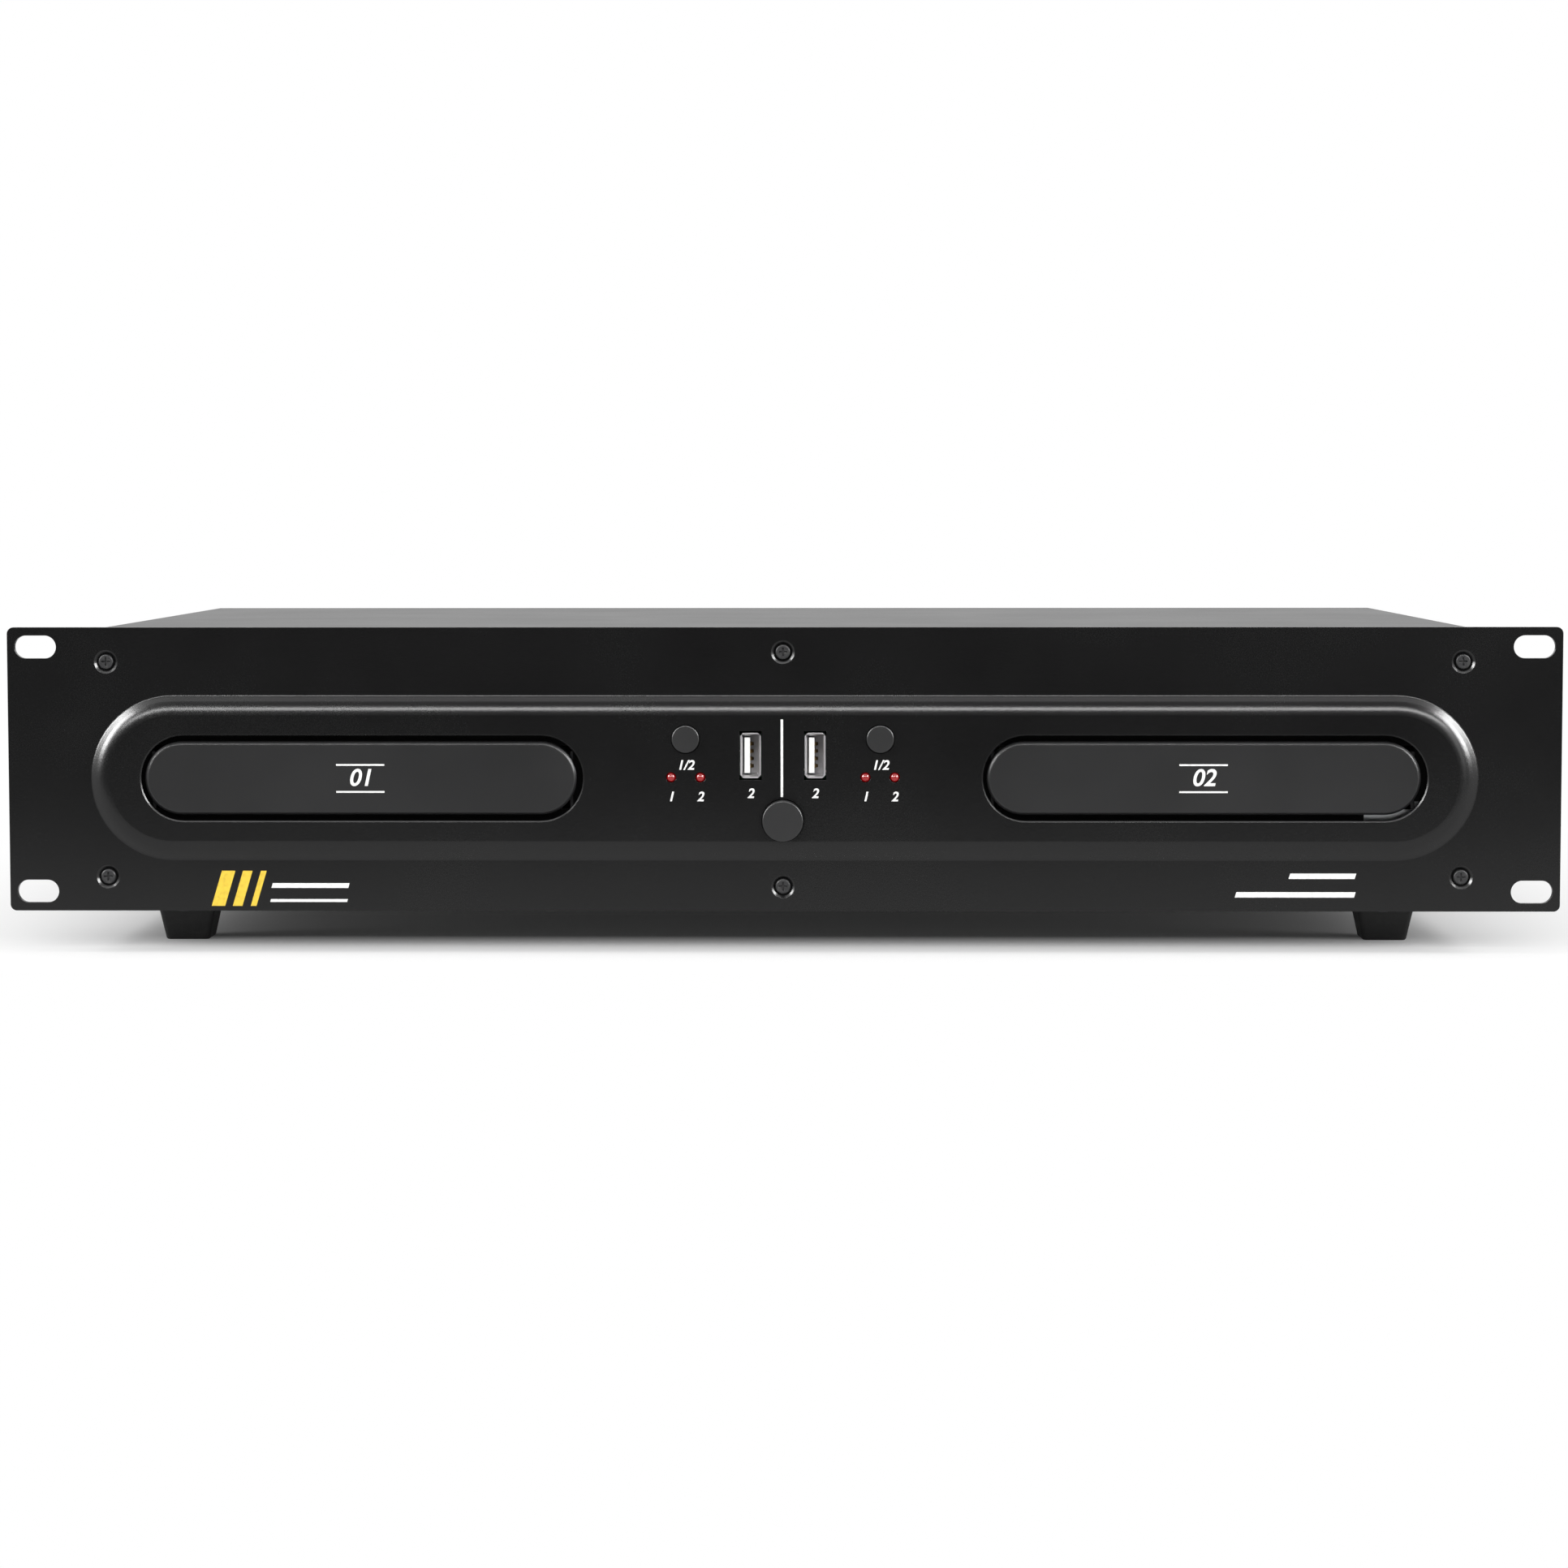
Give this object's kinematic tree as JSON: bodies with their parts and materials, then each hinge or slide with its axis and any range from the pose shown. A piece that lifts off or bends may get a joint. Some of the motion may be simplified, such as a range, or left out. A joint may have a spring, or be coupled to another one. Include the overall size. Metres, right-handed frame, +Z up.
{
  "type": "twin disc player",
  "caption": "Rack-mounted twin disc player: wide black panel with a raised pill-shaped plateau, sliding disc trays, round push buttons, USB sockets and a flat steel case on feet.",
  "frame": {"origin": "under the middle of the player, at the height of the foot soles", "axes": "+X to the right seen from the front, -Y out of the front panel, +Z up"},
  "size_m": [0.4826, 0.2724, 0.1018],
  "materials": {
    "panel_paint": "fine textured satin black powder coat",
    "cover_paint": "textured satin black powder coat",
    "zinc_steel": "bare zinc-plated sheet",
    "black_screw": "black zinc screw",
    "foot_rubber": "matte moulded",
    "door_plastic": "smooth satin dark grey",
    "button_plastic": "fine matte",
    "tray_plastic": "fine spark texture",
    "loader_plastic": "moulded",
    "gear_plastic": "moulded acetal",
    "belt_rubber": "smooth",
    "motor_can": "plated can",
    "bright_steel": "ground and polished",
    "traverse_plastic": "glass-filled moulding",
    "turntable_plastic": "moulded",
    "pickup_metal": "die cast, bare",
    "usb_plate": "tin-plated sheet",
    "usb_tongue_plastic": "white moulding",
    "contact_gold": "gold flash",
    "led_red": "red tinted lens",
    "board_green": "solder mask on glass-epoxy",
    "spacer_brass": "turned brass",
    "switch_black": "moulded",
    "component_black": "mixed electronic components",
    "core_steel": "varnished laminations",
    "winding_copper": "taped copper winding",
    "connector_black": "moulded connector",
    "ribbon_grey": "flat ribbon cable"
  },
  "bodies": {
    "case": {"board_components": "component_black", "board_spacers": "spacer_brass", "chassis_base": "cover_paint", "chassis_screws": "black_screw", "clamp_bridge_left": "zinc_steel", "clamp_bridge_right": "zinc_steel", "control_board": "board_green", "control_sockets": "connector_black", "cover_screws": "black_screw", "drive_belt_left": "belt_rubber", "drive_belt_right": "belt_rubber", "feet": "foot_rubber", "front_panel": "panel_paint", "front_subpanel": "zinc_steel", "key_switches": "switch_black", "led_lenses": "led_red", "loader_frame_left": "loader_plastic", "loader_frame_right": "loader_plastic", "loading_motor_left": "motor_can", "loading_motor_right": "motor_can", "main_board": "board_green", "mains_inlet": "connector_black", "output_jacks": "connector_black", "panel_screws": "black_screw", "ribbon_cables": "ribbon_grey", "top_cover": "cover_paint", "transformer_core": "core_steel", "transformer_winding": "winding_copper", "usb_contacts": "contact_gold", "usb_shells": "usb_plate", "usb_tongues": "usb_tongue_plastic"},
    "tray_unit_left": {"disc_tray_left": "tray_plastic", "tray_door_left": "door_plastic"},
    "pinion_unit_left": {"tray_pinion_left": "gear_plastic"},
    "belt_gear_unit_left": {"belt_gear_left": "gear_plastic"},
    "motor_pulley_unit_left": {"motor_pulley_left": "gear_plastic"},
    "traverse_left": {"traverse_frame_left": "traverse_plastic", "guide_rods_left": "bright_steel", "traverse_motors_left": "motor_can"},
    "cam_unit_left": {"cam_slider_left": "loader_plastic"},
    "turntable_unit_left": {"turntable_left": "turntable_plastic"},
    "puck_unit_left": {"clamp_puck_left": "turntable_plastic"},
    "pickup_unit_left": {"pickup_left": "pickup_metal"},
    "feed_unit_left": {"feed_screw_left": "bright_steel"},
    "mode_key_left": {"mode_button_left": "button_plastic"},
    "tray_unit_right": {"disc_tray_right": "tray_plastic", "tray_door_right": "door_plastic"},
    "pinion_unit_right": {"tray_pinion_right": "gear_plastic"},
    "belt_gear_unit_right": {"belt_gear_right": "gear_plastic"},
    "motor_pulley_unit_right": {"motor_pulley_right": "gear_plastic"},
    "traverse_right": {"traverse_frame_right": "traverse_plastic", "guide_rods_right": "bright_steel", "traverse_motors_right": "motor_can"},
    "cam_unit_right": {"cam_slider_right": "loader_plastic"},
    "turntable_unit_right": {"turntable_right": "turntable_plastic"},
    "puck_unit_right": {"clamp_puck_right": "turntable_plastic"},
    "pickup_unit_right": {"pickup_right": "pickup_metal"},
    "feed_unit_right": {"feed_screw_right": "bright_steel"},
    "mode_key_right": {"mode_button_right": "button_plastic"},
    "power_key": {"power_button": "button_plastic"}
  },
  "joints": [
    {"name": "tray_slide_left", "type": "slide", "parent": "case", "child": "tray_unit_left", "axis": [0, -1, 0], "range_m": [0, 0.135]},
    {"name": "pinion_turn_left", "type": "hinge", "parent": "case", "child": "pinion_unit_left", "pos_m": [-0.1767, -0.1037, 0.045], "axis": [0, 0, 1], "range_deg": [0, 860]},
    {"name": "belt_gear_turn_left", "type": "hinge", "parent": "case", "child": "belt_gear_unit_left", "pos_m": [-0.1527, -0.1037, 0.042], "axis": [0, 0, 1], "range_deg": [-2006, 0]},
    {"name": "motor_pulley_turn_left", "type": "hinge", "parent": "case", "child": "motor_pulley_unit_left", "pos_m": [-0.1132, -0.1037, 0.04], "axis": [0, 0, 1], "range_deg": [-7660, 0]},
    {"name": "traverse_lift_left", "type": "hinge", "parent": "case", "child": "traverse_left", "pos_m": [-0.1312, 0.0293, 0.044], "axis": [1, 0, 0], "range_deg": [0, 4.56]},
    {"name": "cam_slide_left", "type": "slide", "parent": "case", "child": "cam_unit_left", "axis": [1, 0, 0], "range_m": [0, 0.0121]},
    {"name": "turntable_spin_left", "type": "hinge", "parent": "traverse_left", "child": "turntable_unit_left", "pos_m": [-0.1312, -0.0587, 0.055], "axis": [0, 0, 1], "continuous": true},
    {"name": "puck_spin_left", "type": "hinge", "parent": "case", "child": "puck_unit_left", "pos_m": [-0.1312, -0.0587, 0.061], "axis": [0, 0, 1], "continuous": true},
    {"name": "pickup_slide_left", "type": "slide", "parent": "traverse_left", "child": "pickup_unit_left", "axis": [0, 1, 0], "range_m": [0, 0.036]},
    {"name": "feed_screw_turn_left", "type": "hinge", "parent": "traverse_left", "child": "feed_unit_left", "pos_m": [-0.1012, -0.0087, 0.037], "axis": [0, 1, 0], "range_deg": [0, 4325]},
    {"name": "mode_button_press_left", "type": "slide", "parent": "case", "child": "mode_key_left", "axis": [0, 1, 0], "range_m": [0, 0.0006], "stiffness_N_per_m": 2600},
    {"name": "tray_slide_right", "type": "slide", "parent": "case", "child": "tray_unit_right", "axis": [0, -1, 0], "range_m": [0, 0.135]},
    {"name": "pinion_turn_right", "type": "hinge", "parent": "case", "child": "pinion_unit_right", "pos_m": [0.0849, -0.1037, 0.045], "axis": [0, 0, 1], "range_deg": [0, 860]},
    {"name": "belt_gear_turn_right", "type": "hinge", "parent": "case", "child": "belt_gear_unit_right", "pos_m": [0.1089, -0.1037, 0.042], "axis": [0, 0, 1], "range_deg": [-2006, 0]},
    {"name": "motor_pulley_turn_right", "type": "hinge", "parent": "case", "child": "motor_pulley_unit_right", "pos_m": [0.1484, -0.1037, 0.04], "axis": [0, 0, 1], "range_deg": [-7660, 0]},
    {"name": "traverse_lift_right", "type": "hinge", "parent": "case", "child": "traverse_right", "pos_m": [0.1304, 0.0293, 0.044], "axis": [1, 0, 0], "range_deg": [0, 4.56]},
    {"name": "cam_slide_right", "type": "slide", "parent": "case", "child": "cam_unit_right", "axis": [1, 0, 0], "range_m": [0, 0.0121]},
    {"name": "turntable_spin_right", "type": "hinge", "parent": "traverse_right", "child": "turntable_unit_right", "pos_m": [0.1304, -0.0587, 0.055], "axis": [0, 0, 1], "continuous": true},
    {"name": "puck_spin_right", "type": "hinge", "parent": "case", "child": "puck_unit_right", "pos_m": [0.1304, -0.0587, 0.061], "axis": [0, 0, 1], "continuous": true},
    {"name": "pickup_slide_right", "type": "slide", "parent": "traverse_right", "child": "pickup_unit_right", "axis": [0, 1, 0], "range_m": [0, 0.036]},
    {"name": "feed_screw_turn_right", "type": "hinge", "parent": "traverse_right", "child": "feed_unit_right", "pos_m": [0.1604, -0.0087, 0.037], "axis": [0, 1, 0], "range_deg": [0, 4325]},
    {"name": "mode_button_press_right", "type": "slide", "parent": "case", "child": "mode_key_right", "axis": [0, 1, 0], "range_m": [0, 0.0006], "stiffness_N_per_m": 2600},
    {"name": "power_button_press", "type": "slide", "parent": "case", "child": "power_key", "axis": [0, 1, 0], "range_m": [0, 0.0015], "stiffness_N_per_m": 2000}
  ],
  "couplings": [
    {"joint": "pinion_turn_left", "follows": "tray_slide_left", "rad_per_m": 111.11},
    {"joint": "belt_gear_turn_left", "follows": "tray_slide_left", "rad_per_m": -259.26},
    {"joint": "motor_pulley_turn_left", "follows": "tray_slide_left", "rad_per_m": -989.57},
    {"joint": "cam_slide_left", "follows": "traverse_lift_left", "m_per_rad": 0.1507},
    {"joint": "feed_screw_turn_left", "follows": "pickup_slide_left", "rad_per_m": 2094.4},
    {"joint": "pinion_turn_right", "follows": "tray_slide_right", "rad_per_m": 111.11},
    {"joint": "belt_gear_turn_right", "follows": "tray_slide_right", "rad_per_m": -259.26},
    {"joint": "motor_pulley_turn_right", "follows": "tray_slide_right", "rad_per_m": -989.57},
    {"joint": "cam_slide_right", "follows": "traverse_lift_right", "m_per_rad": 0.1507},
    {"joint": "feed_screw_turn_right", "follows": "pickup_slide_right", "rad_per_m": 2094.4}
  ]
}
